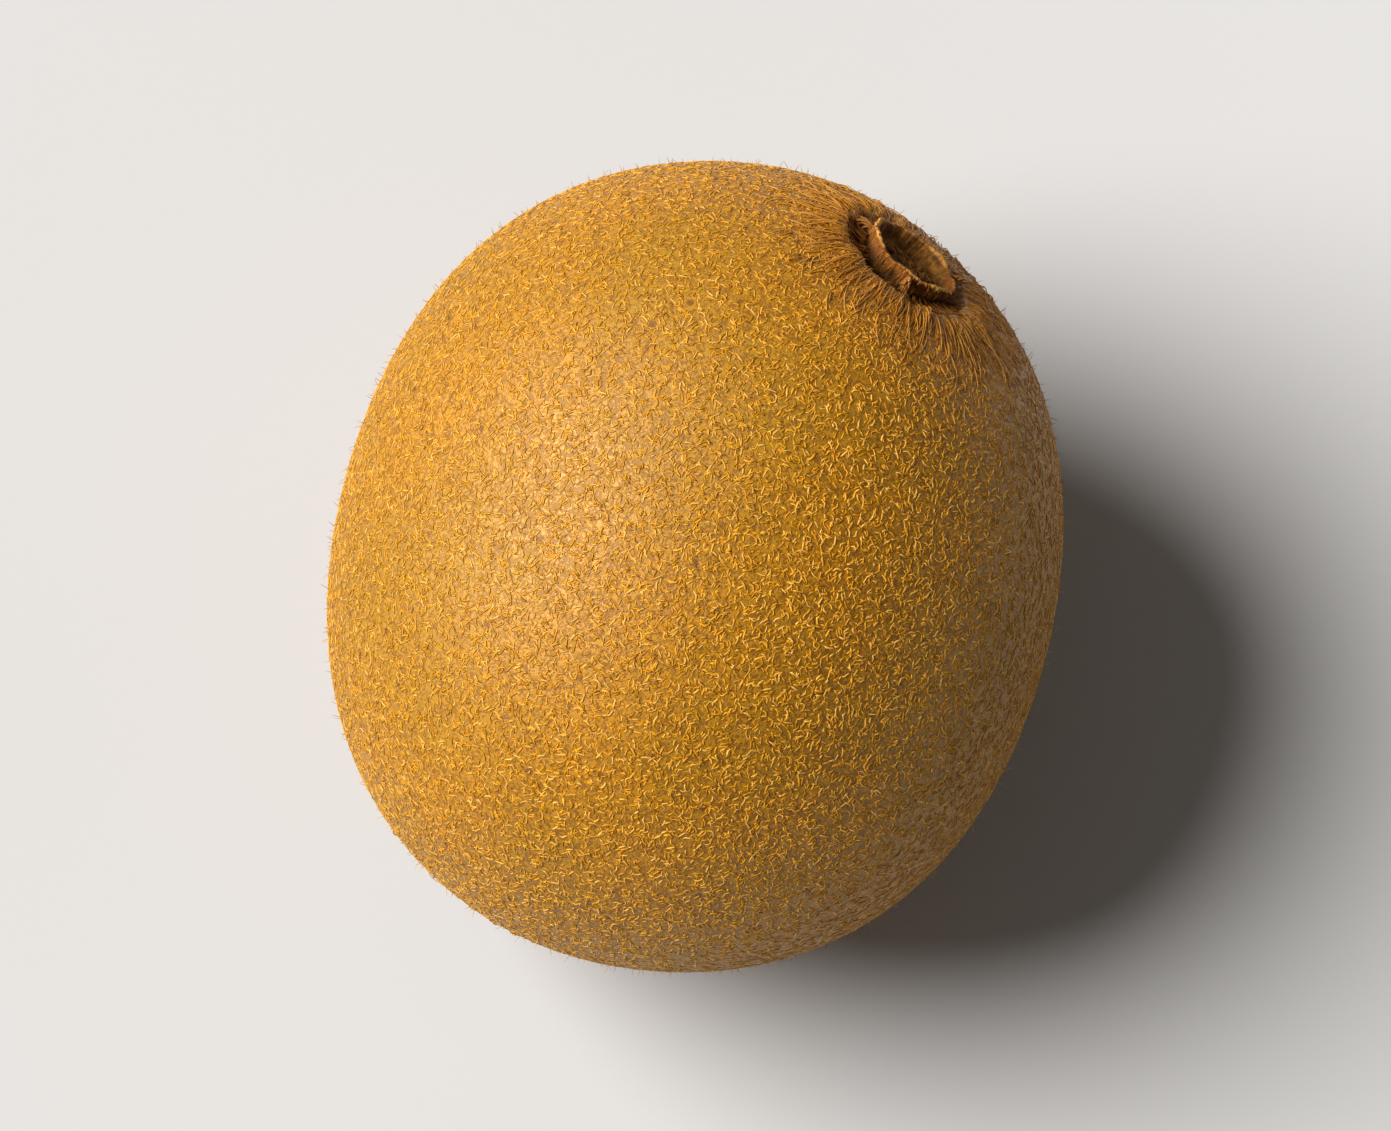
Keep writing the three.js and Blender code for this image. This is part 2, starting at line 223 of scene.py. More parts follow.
def smoothstep(x, low, high):
    t = np.clip((x - low) / (high - low), 0, 1)
    return t * t * (3 - 2 * t)


class End:
    """One end of the berry: its form and a frame whose origin is on the smooth berry."""

    def __init__(self, form, place, facing):
        self.form = form
        self.axes = Axes(way_of(*facing))
        self.foot = place * berry_reach(place)
        self.seat = self.foot - self.axes.out * form["pit_depth"]

    def local(self, point):
        offset = point - self.foot
        axes = self.axes
        return offset @ axes.side, offset @ axes.back, offset @ axes.out

    def height(self, x, y, height, fine=1.0):
        """The skin's height once the end is blunted, puckered and pitted."""
        form = self.form
        radius = np.hypot(x, y)
        phi = np.arctan2(y, x)
        from_pit = np.hypot(x - form["shift"][0], y - form["shift"][1])
        blunt = form["blunt_share"] * np.exp(-((radius / form["blunt_reach"]) ** 2))
        off = (radius - form["shoulder_radius"]) / form["shoulder_width"]
        shoulder = np.exp(-(off**2))
        bend = 0.9 * np.sin(2 * phi + 1)
        pucker = np.cos(form["puckers"] * phi + bend)
        pucker = pucker + 0.5 * np.cos((form["puckers"] + 6) * phi + 2 * bend)
        wrinkle = np.cos(37 * phi + 3 * np.sin(3 * phi)) + 0.6 * np.cos(
            53 * phi + 4 * np.sin(2 * phi)
        )
        reach = np.exp(-(((radius - 6.6) / 2.4) ** 2))
        pit = 1 - smoothstep(from_pit, form["pit_foot"], form["pit_top"])
        level = height + (-form["blunt_depth"] - height) * blunt
        level = level + shoulder * (
            form["shoulder_rise"] + form["pucker_height"] * pucker
        )
        level = level + 0.045 * fine * wrinkle * reach
        return level + (-form["pit_depth"] - level) * pit

    def above_seat(self, radius, phi):
        """The skin's height above the seat of the dried piece, found by halving."""
        x, y = radius * math.cos(phi), radius * math.sin(phi)
        base = self.foot + self.axes.side * x + self.axes.back * y
        low, high = -9.0, 3.0
        for _ in range(24):
            height = (low + high) / 2
            point = base + self.axes.out * height
            if np.linalg.norm(point) < berry_reach(unit(point)):
                low = height
            else:
                high = height
        return float(self.height(x, y, low, fine=0.0)) + self.form["pit_depth"]

    def seated(self, local):
        """Points that were made upright about the seat, brought to their place."""
        axes = self.axes
        turned = local[..., 0:1] * axes.side + local[..., 1:2] * axes.back
        return self.seat + turned + local[..., 2:3] * axes.out


STALK = End(STALK_END, AXIS.out, SCAR_FACING)
BLOSSOM = End(BLOSSOM_END, -AXIS.out, BLOSSOM_FACING)


def skin_points(way):
    """Points of the finished skin along unit vectors from the berry's centre."""
    point = way * berry_reach(way)[..., None]
    near_stalk = way @ AXIS.out > 0
    for end, chosen in ((STALK, near_stalk), (BLOSSOM, ~near_stalk)):
        x, y, height = end.local(point)
        move = np.where(chosen, end.height(x, y, height) - height, 0.0)
        point = point + move[..., None] * end.axes.out
    return point


def skin_normals(way):
    helper = np.where(np.abs(way[..., 2:3]) < 0.9, (0.0, 0.0, 1.0), (1.0, 0.0, 0.0))
    across = unit(np.cross(helper, way))
    along = np.cross(way, across)
    step = 2e-3
    a = skin_points(unit(way + step * across)) - skin_points(unit(way - step * across))
    b = skin_points(unit(way + step * along)) - skin_points(unit(way - step * along))
    return unit(np.cross(a, b))


def ways_from(theta, phi):
    ring = np.sin(theta)[..., None]
    turned = np.cos(phi)[..., None] * AXIS.side + np.sin(phi)[..., None] * AXIS.back
    return np.cos(theta)[..., None] * AXIS.out + ring * turned


def centre_in_frame():
    """Where the berry's centre lies in the frame, from the CAD node's box."""
    theta, phi = np.meshgrid(
        np.linspace(0, math.pi, 181), np.linspace(0, 2 * math.pi, 241), indexing="ij"
    )
    points = skin_points(ways_from(theta, phi)).reshape(-1, 3)
    low, high = (np.array(corner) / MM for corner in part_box("berry"))
    middle = (low + high) / 2 - (points.min(0) + points.max(0)) / 2
    return np.array([middle[0], middle[1], high[2] - points[:, 2].max()])


CENTRE = centre_in_frame()


class Draw:
    """Repeatable draws between two numbers."""

    def __init__(self, seed):
        self.state = seed

    def __call__(self, low, high):
        self.state = (self.state * 16807) % 2147483647
        return low + (high - low) * self.state / 2147483647


def polar(radius, phi, height):
    return np.array([radius * math.cos(phi), radius * math.sin(phi), height])


def smooth_path(points, count):
    """A smooth curve through control points, in even steps."""
    p = np.asarray(points, float)
    p = np.vstack([2 * p[0] - p[1], p, 2 * p[-1] - p[-2]])
    spans = len(p) - 3
    t = np.linspace(0, spans, spans * 24 + 1)
    i = np.minimum(t.astype(int), spans - 1)
    u = (t - i)[:, None]
    a, b, c, d = p[i], p[i + 1], p[i + 2], p[i + 3]
    curve = 0.5 * (
        2 * b
        + (c - a) * u
        + (2 * a - 5 * b + 4 * c - d) * u**2
        + (3 * b - a - 3 * c + d) * u**3
    )
    length = np.concatenate(
        [[0], np.cumsum(np.linalg.norm(np.diff(curve, axis=0), axis=1))]
    )
    even = np.linspace(0, length[-1], count)
    return np.stack([np.interp(even, length, curve[:, k]) for k in range(3)], 1)


def new_mesh_object(name, points, faces, material):
    """A smooth mesh object from triangles, with its points in millimetres in the berry's frame."""
    points = (np.asarray(points, float).reshape(-1, 3) + CENTRE) * MM
    faces = np.asarray(faces, np.int32)
    mesh = bpy.data.meshes.new(name)
    mesh.vertices.add(len(points))
    mesh.vertices.foreach_set("co", points.astype(np.float32).ravel())
    mesh.loops.add(faces.size)
    mesh.loops.foreach_set("vertex_index", faces.ravel())
    mesh.polygons.add(len(faces))
    mesh.polygons.foreach_set("loop_start", np.arange(0, faces.size, 3))
    mesh.polygons.foreach_set("use_smooth", np.ones(len(faces), bool))
    mesh.update(calc_edges=True)
    if mesh.validate():
        raise RuntimeError(f"{name} has faulty faces")
    mesh.materials.append(material)
    obj = bpy.data.objects.new(name, mesh)
    bpy.context.scene.collection.objects.link(obj)
    return obj


def dress(obj, slot, *nodes):
    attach(obj, "root")
    if nodes:
        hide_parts(*nodes)


def grid_faces(rows, columns, closed=True):
    """Triangles of a grid whose columns wrap round."""
    r, c = np.meshgrid(np.arange(rows - 1), np.arange(columns), indexing="ij")
    after = (c + 1) % columns
    a, b = r * columns + c, r * columns + after
    d, e = (r + 1) * columns + c, (r + 1) * columns + after
    return np.concatenate(
        [np.stack([a, d, e], -1).reshape(-1, 3), np.stack([a, e, b], -1).reshape(-1, 3)]
    )


def strands(paths, radii, sides, facing=None, flat=1.0):
    """Points and triangles of tubes with pointed ends along many paths, flatter along the way they face."""
    paths = np.asarray(paths, float)
    count, steps = paths.shape[:2]
    tangent = np.empty_like(paths)
    tangent[:, 1:-1] = paths[:, 2:] - paths[:, :-2]
    tangent[:, 0] = paths[:, 1] - paths[:, 0]
    tangent[:, -1] = paths[:, -1] - paths[:, -2]
    tangent = unit(tangent)
    if facing is None:
        first = tangent[:, :1]
        helper = np.where(np.abs(first[..., 2:3]) < 0.8, (0, 0, 1.0), (1.0, 0, 0))
        facing = np.broadcast_to(np.cross(first, helper), paths.shape)
    else:
        facing = np.broadcast_to(facing[:, None], paths.shape)
    normal = unit(facing - (facing * tangent).sum(-1, keepdims=True) * tangent)
    third = np.cross(tangent, normal)
    angle = 2 * np.pi * np.arange(sides) / sides
    inner = slice(1, -1)
    offset = (
        flat * np.cos(angle)[None, None, :, None] * normal[:, inner, None]
        + np.sin(angle)[None, None, :, None] * third[:, inner, None]
    )
    rings = paths[:, inner, None] + radii[:, inner, None, None] * offset
    body = rings.reshape(count, -1, 3)
    points = np.concatenate([paths[:, :1], body, paths[:, -1:]], 1)
    per = points.shape[1]
    faces = []
    for j in range(sides):
        k = (j + 1) % sides
        faces.append((0, 1 + k, 1 + j))
        for i in range(steps - 3):
            a, b = 1 + i * sides + j, 1 + i * sides + k
            c, d = a + sides, b + sides
            faces.append((a, b, d))
            faces.append((a, d, c))
        last = 1 + (steps - 3) * sides
        faces.append((per - 1, last + j, last + k))
    faces = np.array(faces)
    faces = faces[None] + (np.arange(count) * per)[:, None, None]
    return points.reshape(-1, 3), faces.reshape(-1, 3)


def merged(parts):
    """Several (points, triangles) pairs as one."""
    points, faces, start = [], [], 0
    for p, f in parts:
        p = np.asarray(p).reshape(-1, 3)
        points.append(p)
        faces.append(np.asarray(f) + start)
        start += len(p)
    return np.vstack(points), np.vstack(faces)


def tapered(paths, root, tip, noise, seed):
    """Radii that taper along each path, with a little unevenness."""
    rng = np.random.default_rng(seed)
    count, steps = paths.shape[:2]
    radii = np.linspace(root, tip, steps)[None] * np.ones((count, 1))
    return radii * (1 + noise * rng.uniform(-1, 1, radii.shape))


class Nodes:
    """A short way to build a material's nodes."""

    def __init__(self, name):
        self.material = bpy.data.materials.new(name)
        self.material.use_nodes = True
        self.tree = self.material.node_tree
        self.shader = self.tree.nodes["Principled BSDF"]
        self.object_place = self.add("ShaderNodeTexCoord").outputs["Object"]

    def add(self, kind, **values):
        node = self.tree.nodes.new(kind)
        for key, value in values.items():
            setattr(node, key, value)
        return node

    def link(self, out, socket):
        self.tree.links.new(out, socket)

    def noise(self, scale, detail=3.0, rough=0.55, distortion=0.0):
        node = self.add("ShaderNodeTexNoise")
        node.inputs["Scale"].default_value = scale
        node.inputs["Detail"].default_value = detail
        node.inputs["Roughness"].default_value = rough
        node.inputs["Distortion"].default_value = distortion
        self.link(self.object_place, node.inputs["Vector"])
        return node.outputs["Fac"]

    def range(self, value, low, high, to_low=0.0, to_high=1.0):
        node = self.add("ShaderNodeMapRange")
        node.interpolation_type = "SMOOTHSTEP"
        self.link(value, node.inputs["Value"])
        node.inputs["From Min"].default_value = low
        node.inputs["From Max"].default_value = high
        node.inputs["To Min"].default_value = to_low
        node.inputs["To Max"].default_value = to_high
        return node.outputs["Result"]

    def math(self, kind, a, b):
        node = self.add("ShaderNodeMath", operation=kind)
        for socket, value in zip(node.inputs, (a, b)):
            if isinstance(value, (int, float)):
                socket.default_value = value
            else:
                self.link(value, socket)
        return node.outputs[0]

    def mix(self, factor, a, b, blend="MIX"):
        node = self.add("ShaderNodeMix", data_type="RGBA", blend_type=blend)
        for socket, value in zip((node.inputs[0], node.inputs[6], node.inputs[7]), (factor, a, b)):
            if isinstance(value, tuple):
                socket.default_value = (*value, 1.0)
            elif isinstance(value, (int, float)):
                socket.default_value = value
            else:
                self.link(value, socket)
        return node.outputs[2]

    def offset(self, origin):
        """The way from an origin, given in millimetres in the berry's frame."""
        node = self.add("ShaderNodeVectorMath", operation="SUBTRACT")
        self.link(self.object_place, node.inputs[0])
        node.inputs[1].default_value = tuple((np.asarray(origin) + CENTRE) * MM)
        return node.outputs["Vector"]

    def distance(self, point):
        """Distance from a point given in millimetres in the berry's frame, in metres."""
        node = self.add("ShaderNodeVectorMath", operation="DISTANCE")
        self.link(self.object_place, node.inputs[0])
        node.inputs[1].default_value = tuple((np.asarray(point) + CENTRE) * MM)
        return node.outputs["Value"]

    def along(self, origin, way):
        """How far along a way a point lies from an origin, in metres."""
        node = self.add("ShaderNodeVectorMath", operation="DOT_PRODUCT")
        self.link(self.offset(origin), node.inputs[0])
        node.inputs[1].default_value = tuple(way)
        return node.outputs["Value"]

    def from_line(self, origin, way):
        """Distance from the line through an origin along a way, in metres."""
        cross = self.add("ShaderNodeVectorMath", operation="CROSS_PRODUCT")
        self.link(self.offset(origin), cross.inputs[0])
        cross.inputs[1].default_value = tuple(way)
        node = self.add("ShaderNodeVectorMath", operation="LENGTH")
        self.link(cross.outputs["Vector"], node.inputs[0])
        return node.outputs["Value"]

    def bump(self, height, strength, distance):
        node = self.add("ShaderNodeBump")
        node.inputs["Strength"].default_value = strength
        node.inputs["Distance"].default_value = distance
        self.link(height, node.inputs["Height"])
        self.link(node.outputs["Normal"], self.shader.inputs["Normal"])

    def island(self):
        return self.add("ShaderNodeNewGeometry").outputs["Random Per Island"]

    def colour(self, value):
        self.link(value, self.shader.inputs["Base Color"])

    def roughness(self, value):
        self.link(value, self.shader.inputs["Roughness"])

    def set(self, **values):
        for name, value in values.items():
            self.shader.inputs[name.replace("_", " ")].default_value = value


def skin_material(light_ground, dark_ground):
    """Mottled golden ground with dark specks, browner near the two ends, and painted shade deep in the
    stalk end's pit.
    """
    n = Nodes("kiwi_skin")
    broad = n.range(n.noise(55, 2), 0.35, 0.65)
    middle = n.range(n.noise(520, 3), 0.3, 0.7)
    fine = n.range(n.noise(2300, 4, 0.6, 1.6), 0.40, 0.60)
    golden = n.mix(broad, light_ground, (0.40, 0.198, 0.003))
    dark = n.mix(middle, dark_ground, (0.260, 0.106, 0.001))
    colour = n.mix(fine, dark, golden)
    speck = n.add("ShaderNodeTexVoronoi")
    speck.inputs["Scale"].default_value = 300
    n.link(n.object_place, speck.inputs["Vector"])
    spot = n.range(speck.outputs["Distance"], 0.06, 0.12, 1.0, 0.0)
    colour = n.mix(n.math("MULTIPLY", spot, 0.7), colour, (0.10, 0.018, 0.004))
    from_scar = n.distance(STALK.foot)
    wide_scar = n.range(from_scar, 0.006, 0.022, 0.5, 0.0)
    wide_brown = n.mix(fine, (0.21, 0.070, 0.001), (0.50, 0.190, 0.004))
    colour = n.mix(wide_scar, colour, wide_brown)
    near_scar = n.range(from_scar, 0.0060, 0.0120, 0.6, 0.0)
    near_brown = n.mix(fine, (0.19, 0.060, 0.003), (0.46, 0.175, 0.008))
    colour = n.mix(near_scar, colour, near_brown)
    near_blossom = n.range(n.distance(BLOSSOM.foot), 0.0050, 0.0090, 0.5, 0.0)
    colour = n.mix(near_blossom, colour, (0.14, 0.05, 0.012))
    # Painted shade: the skin deep down in the stalk end's pit is darkened to near black.
    pit_depth = n.along(STALK.foot, STALK.axes.out)
    painted_pit_shade = n.math(
        "MULTIPLY",
        n.range(from_scar, 0.0056, 0.0062, 1.0, 0.0),
        n.range(pit_depth, -0.0021, -0.0006, 1.0, 0.0),
    )
    colour = n.mix(painted_pit_shade, colour, (0.030, 0.010, 0.002))
    n.colour(colour)
    n.roughness(n.range(fine, 0, 1, 0.52, 0.44))
    n.bump(fine, 0.3, 0.0001)
    n.set(Specular_IOR_Level=0.8, Specular_Tint=WARM_SHEEN)
    return n.material


def hair_material(name, dark, light):
    """A hair's material, whose tint differs from hair to hair and a little along each."""
    n = Nodes(name)
    tint = n.mix(n.island(), dark, light)
    broad = n.range(n.noise(60, 2), 0.35, 0.65)
    tint = n.mix(n.math("MULTIPLY", broad, 0.25), tint, (0.46, 0.230, 0.003))
    along = n.range(n.noise(1500, 2), 0.3, 0.7, 0.72, 1.08)
    shade = n.add("ShaderNodeCombineColor")
    for socket in shade.inputs:
        n.link(along, socket)
    tint = n.mix(1.0, tint, shade.outputs["Color"], "MULTIPLY")
    from_scar = n.distance(STALK.foot)
    tint = n.mix(n.range(from_scar, 0.006, 0.022, 0.5, 0.0), tint, (0.58, 0.225, 0.012))
    tint = n.mix(n.range(from_scar, 0.0055, 0.0115, 0.5, 0.0), tint, (0.47, 0.175, 0.014))
    n.colour(tint)
    n.set(Roughness=0.4, Specular_IOR_Level=0.3, Specular_Tint=WARM_SHEEN)
    return n.material


def ring_material():
    """Rough tan cork with painted shade at its foot and in the hollow of its floor, and pale along its lip.
    """
    n = Nodes("kiwi_ring_cork")
    height = n.along(STALK.seat, STALK.axes.out)
    grain = n.range(n.noise(1400, 4, 0.65, 0.6), 0.3, 0.7)
    coarse = n.range(n.noise(420, 3), 0.35, 0.65)
    wall = n.mix(grain, (0.105, 0.031, 0.003), (0.30, 0.105, 0.011))
    wall = n.mix(n.math("MULTIPLY", coarse, 0.5), wall, (0.20, 0.058, 0.005))
    # Painted shade: the ring's wall is darkened low down, where it stands in the moat.
    low = n.range(height, 0.0008, 0.0018, 1.0, 0.0)
    colour = n.mix(low, wall, (0.050, 0.018, 0.004))
    inside = n.range(n.from_line(STALK.seat, STALK.axes.out), 0.00315, 0.0034, 1.0, 0.0)
    floor = n.mix(grain, (0.085, 0.033, 0.005), (0.340, 0.143, 0.019))
    # Painted shade: the ring's floor is darkened in and round the hollow in it.
    hollow_place = STALK.seated(polar(0.9, 1.9, RING_FLOOR_HEIGHT))
    hollow = n.range(n.distance(hollow_place), 0.0008, 0.0022, 0.85, 0.0)
    floor = n.mix(hollow, floor, (0.022, 0.009, 0.002))
    colour = n.mix(inside, colour, floor)
    lip = n.range(height, 0.0024, 0.00265)
    colour = n.mix(lip, colour, n.mix(grain, (0.40, 0.165, 0.022), (0.68, 0.35, 0.075)))
    n.colour(colour)
    n.roughness(n.range(grain, 0, 1, 0.7, 0.9))
    n.bump(grain, 0.6, 0.00012)
    n.set(Specular_IOR_Level=0.25)
    return n.material


def dried_material(name, dark, light, scale):
    """Dry brown plant stuff with streaky tints."""
    n = Nodes(name)
    streak = n.range(n.noise(scale, 4, 0.6, 0.8), 0.3, 0.7)
    tint = n.mix(n.island(), dark, light)
    tint = n.mix(n.math("MULTIPLY", streak, 0.6), tint, tuple(1.35 * c for c in light))
    n.colour(tint)
    n.roughness(n.range(streak, 0, 1, 0.6, 0.85))
    n.bump(streak, 0.4, 0.00008)
    n.set(Specular_IOR_Level=0.3)
    return n.material


def floor_material(colour):
    """Matt pale paint, a trace lighter in patches."""
    n = Nodes("studio_floor")
    mottle = n.range(n.noise(9, 2), 0.3, 0.7)
    n.colour(n.mix(mottle, colour, tuple(channel + 0.015 for channel in colour)))
    n.set(Roughness=1.0, Specular_IOR_Level=0.0)
    return n.material


def lathe(profile, segments, reshape):
    """A closed form turned about +Z from a profile that starts and ends on the axis."""
    rings = np.array(profile)[1:-1]
    phi = 2 * np.pi * np.arange(segments) / segments
    radius = np.broadcast_to(rings[:, :1], (len(rings), segments))
    height = np.broadcast_to(rings[:, 1:2], (len(rings), segments))
    radius, height = reshape(radius, height, phi[None])
    points = np.stack([radius * np.cos(phi), radius * np.sin(phi), height], -1)
    ends = np.array([[0, 0, profile[0][1]], [0, 0, profile[-1][1]]], float)
    faces = grid_faces(len(rings), segments)[:, ::-1]
    total = len(rings) * segments
    c = np.arange(segments)
    after = (c + 1) % segments
    bottom = np.stack([np.full(segments, total), after, c], -1)
    start = total - segments
    top = np.stack([np.full(segments, total + 1), start + c, start + after], -1)
    return np.vstack([points.reshape(-1, 3), ends]), np.vstack([faces, bottom, top])


def lip_wave(phi):
    return LIP_WAVE * (np.sin(3 * phi + 0.4) + 0.7 * np.sin(7 * phi + 1.9))


def ring_ripple(phi):
    waves = np.cos(5 * phi + 1) + 0.7 * np.cos(11 * phi + 2.3) + 0.6 * np.cos(17 * phi)
    return RING_RIPPLE * waves


def ring_cup():
    """The ring: a thin-lipped cup with a gritty sunken floor."""
    lip, inner = RING_LIP_RADIUS, RING_LIP_RADIUS - RING_WALL
    control = [
        (0, GAP),
        (RING_FOOT_RADIUS, GAP),
        (RING_FOOT_RADIUS + 0.05, RING_HEIGHT * 0.45),
        (lip - 0.1, RING_HEIGHT * 0.85),
        (lip, RING_HEIGHT * 0.96),
        (lip - 0.15, RING_HEIGHT),
        (lip - 0.32, RING_HEIGHT * 0.96),
        (inner, RING_HEIGHT * 0.8),
        (inner - 0.15, RING_FLOOR_HEIGHT + 0.3),
        (inner - 0.7, RING_FLOOR_HEIGHT),
        (0, RING_FLOOR_HEIGHT - 0.15),
    ]
    flat = [(r, h, 0.0) for r, h in control]
    curve = smooth_path(flat[1:-1], 58)[:, :2]
    floor = [(x, RING_FLOOR_HEIGHT - 0.15 * (1 - x / 2.6)) for x in np.linspace(2.3, 0.25, 9)]
    profile = [control[0], *map(tuple, curve), *floor, control[-1]]

    def reshape(radius, height, phi):
        edge = smoothstep(radius, 1, RING_FOOT_RADIUS)
        up = smoothstep(height, RING_FLOOR_HEIGHT, RING_HEIGHT) * edge
        frayed = np.cos(23 * phi + 4 * np.sin(2 * phi)) * np.cos(9 * phi)
        ridges = np.cos(41 * phi + 3 * np.sin(3 * phi) + 1.5 * height)
        ridges = ridges + 0.6 * np.cos(67 * phi + 2 * height)
        inward = smoothstep(radius, 0.4, 2.2)
        grit = np.sin(5.1 * radius + 3 * phi) * np.sin(9 * phi + 2.2 * radius)
        radius = radius * (1 + RING_OVAL * np.cos(2 * phi)) + ring_ripple(phi) * edge
        radius = radius + RIDGE_HEIGHT * ridges * edge
        height = height + (lip_wave(phi) + LIP_FRAY * frayed) * up
        floor_part = (1 - smoothstep(radius, 2.2, 2.9)) * (height > 0.8)
        return radius, height + FLOOR_GRIT * grit * inward * floor_part

    return lathe(profile, 288, reshape)


def course_tubes(courses, root, tip, steps, sides, seed):
    """Uneven tapered tubes along control points that were made upright about a seat."""
    paths = np.array([smooth_path(course, steps) for course in courses])
    radii = tapered(paths, root, tip, 0.12, seed)
    return strands(paths, radii, sides)


def frayed_tubes(courses, root, tip, fibres, seed):
    """Each course as a tuft of fine fibres that part towards its tip."""
    rng = np.random.default_rng(seed)
    steps = 14
    t = np.linspace(0, 1, steps)[:, None]
    paths = []
    for course in courses:
        middle = smooth_path(course, steps)
        for _ in range(fibres):
            offset = rng.normal(0, 0.45 * root, 3) * (1 - 0.35 * t)
            drift = rng.normal(0, 0.9 * root, 3) * t**3
            kink = rng.normal(0, 0.12 * root, (steps, 3)) * t
            paths.append(middle + offset + drift + kink)
    paths = np.array(paths)
    radii = np.linspace(0.5 * root, 0.45 * tip, steps) * rng.uniform(0.7, 1.2, (len(paths), 1))
    radii[:, -3:-1] *= (0.75, 0.4)
    return strands(paths, radii, 5)


def bundle_courses():
    draw = Draw(11)
    courses = []
    for i in range(BUNDLE_COUNT):
        phi = 2 * math.pi * (i + draw(0, 0.3)) / BUNDLE_COUNT
        out = BUNDLE_CIRCLE * draw(0.85, 1.15)
        top = RING_FLOOR_HEIGHT + BUNDLE_HEIGHT * draw(0.5, 1.2)
        courses.append(
            [
                polar(out, phi, RING_FLOOR_HEIGHT - 0.5),
                polar(out, phi + 0.1, (RING_FLOOR_HEIGHT + top) / 2),
                polar(out * 0.85, phi + 0.3, top),
            ]
        )
    return courses


def shred_courses():
    draw = Draw(29)
    courses = []
    for i in range(SHRED_COUNT):
        phi = 2 * math.pi * (i + draw(0, 0.7)) / SHRED_COUNT
        bend = draw(-0.22, 0.22)
        reach = draw(4.3, 5.4)
        clear = STALK.above_seat(reach, phi + bend) + SKIN_CLEARANCE
        start = draw(0.75, 1.1)
        middle = 3.6 + (reach - 3.6) * 0.35
        courses.append(
            [
                polar(2.7, phi, start),
                polar(middle, phi - bend, start + (clear - start) * 0.75),
                polar(reach, phi + bend, clear),
            ]
        )
    return courses


def rib_courses():
    draw = Draw(83)
    courses = []
    for i in range(RIB_COUNT):
        phi = 2 * math.pi * (i + draw(0.9, 1.05)) / RIB_COUNT
        reach = draw(4.9, 5.4)
        clear = STALK.above_seat(reach, phi) + SKIN_CLEARANCE + 0.1
        courses.append(
            [
                polar(3.45, phi, RING_HEIGHT * 0.55),
                polar(4.1, phi + 0.03, RING_HEIGHT * 0.8),
                polar(reach, phi + draw(-0.1, 0.1), clear),
            ]
        )
    return courses


def lip_fibres(count, seed):
    """Short frayed fibres that stand on the lip and lie down the wall of the ring."""
    rng = np.random.default_rng(seed)
    phi = rng.uniform(0, 2 * np.pi, count)
    lean = rng.uniform(-0.06, 0.10, count)
    drop = rng.uniform(0.2, 1.5, count)
    t = np.linspace(0, 1, 6)[None]
    radius = RING_LIP_RADIUS - 0.15 + (0.16 + lean[:, None]) * np.sin(np.pi * t * 0.6)
    radius = radius - 0.3 * t * (drop[:, None] > 0.7)
    turn = phi[:, None] + rng.uniform(-0.05, 0.05, count)[:, None] * t
    height = RING_HEIGHT + 0.06 - drop[:, None] * t
    height = height + lip_wave(turn) * (1 - t)
    radius = radius * (1 + RING_OVAL * np.cos(2 * turn)) + ring_ripple(turn)
    paths = np.stack([radius * np.cos(turn), radius * np.sin(turn), height], -1)
    radii = np.full(paths.shape[:2], 0.045) * rng.uniform(0.6, 1.4, (count, 1))
    return strands(paths, radii, 5)


def swaying(count, lean, bend, t, rng):
    """How far each of many strands strays from its own line as it runs out."""
    return rng.normal(0, lean, count)[:, None] * t + rng.normal(0, bend, count)[:, None] * t**2


def moat_fibres(count, seed):
    """Fine brown fibres that cross the hollow between the ring and the skin, thick at its two ends."""
    rng = np.random.default_rng(seed)
    phi = rng.choice(MOAT_TUFTS, count) + rng.normal(0, 0.42, count)
    reach = rng.uniform(4.9, 6.0, count)
    edge = np.array([STALK.above_seat(r, p) for r, p in zip(reach, phi)])
    t = np.linspace(0, 1, 6)[None]
    radius = 3.35 + (reach[:, None] - 3.35) * t
    start = rng.uniform(0.5, 1.5, count)[:, None]
    sag = rng.uniform(0.1, 0.6, count)[:, None]
    height = start + (edge[:, None] + 0.08 - start) * t**1.5 - sag * np.sin(np.pi * t) * (1 - t)
    turn = phi[:, None] + swaying(count, 0.12, 0.05, t, rng)
    paths = np.stack([radius * np.cos(turn), radius * np.sin(turn), height], -1)
    radii = rng.uniform(0.03, 0.07, (count, 1)) * np.array([1, 1, 0.95, 0.85, 0.65, 0.3])
    return strands(paths, radii, 4)


def litter_fibres(count, spread, level, seed):
    """Torn fibres that lie across the middle of a dried piece."""
    rng = np.random.default_rng(seed)
    middle = rng.uniform(-spread, spread, (count, 2))
    angle = rng.uniform(0, 2 * np.pi, count)
    t = np.linspace(-1, 1, 7)[None]
    half = rng.uniform(0.25, 0.9, count)[:, None]
    bend = rng.uniform(-0.7, 0.7, count)[:, None]
    cosine, sine = np.cos(angle)[:, None], np.sin(angle)[:, None]
    x = middle[:, :1] + half * (t * cosine - bend * t**2 * sine)
    y = middle[:, 1:] + half * (t * sine + bend * t**2 * cosine)
    rise = rng.uniform(0.02, 0.32, count)[:, None]
    z = level + rise * (1 - t**2)
    keep = np.hypot(x, y).max(1) < 1.5 * spread
    paths = np.stack([x, y, z], -1)[keep]
    radii = rng.uniform(0.02, 0.055, len(paths))[:, None] * np.ones((1, 7))
    return strands(paths, radii, 5)


